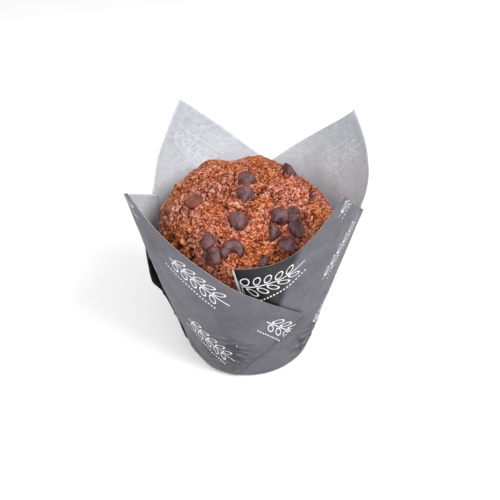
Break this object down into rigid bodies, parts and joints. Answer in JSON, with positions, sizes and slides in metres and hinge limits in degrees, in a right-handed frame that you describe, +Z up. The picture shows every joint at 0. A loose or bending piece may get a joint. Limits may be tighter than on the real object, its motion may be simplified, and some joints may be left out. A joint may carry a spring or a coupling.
{
  "type": "chocolate chip muffin in a tulip paper",
  "caption": "Domed chocolate muffin set with chocolate chips, standing in a square grey paper folded into a tulip cup whose corners rise as petals.",
  "frame": {"origin": "centre of the paper's flat base, on the surface that the muffin stands on", "axes": "+Z up out of the cup, -Y the side seen in front with the front pleat, +X to the right of that side"},
  "size_m": [0.0949, 0.089, 0.095],
  "materials": {
    "crumb": "rough baked crumb, matt, pitted and cracked",
    "chocolate": "satin chocolate with a dusty bloom",
    "printed_paper": "satin greaseproof paper, grey print outside and pale grey inside"
  },
  "bodies": {
    "root": {"muffin": "crumb", "paper_wrap": "printed_paper", "chocolate_chip_01": "chocolate", "chocolate_chip_02": "chocolate", "chocolate_chip_03": "chocolate", "chocolate_chip_04": "chocolate", "chocolate_chip_05": "chocolate", "chocolate_chip_06": "chocolate", "chocolate_chip_07": "chocolate", "chocolate_chip_08": "chocolate", "chocolate_chip_09": "chocolate", "chocolate_chip_10": "chocolate", "chocolate_chip_11": "chocolate", "chocolate_chip_12": "chocolate", "chocolate_chip_13": "chocolate", "chocolate_chip_14": "chocolate", "chocolate_chip_15": "chocolate", "chocolate_chip_16": "chocolate", "chocolate_chip_17": "chocolate", "chocolate_chip_18": "chocolate", "chocolate_chip_19": "chocolate", "chocolate_chip_20": "chocolate", "chocolate_chip_21": "chocolate"}
  },
  "joints": []
}
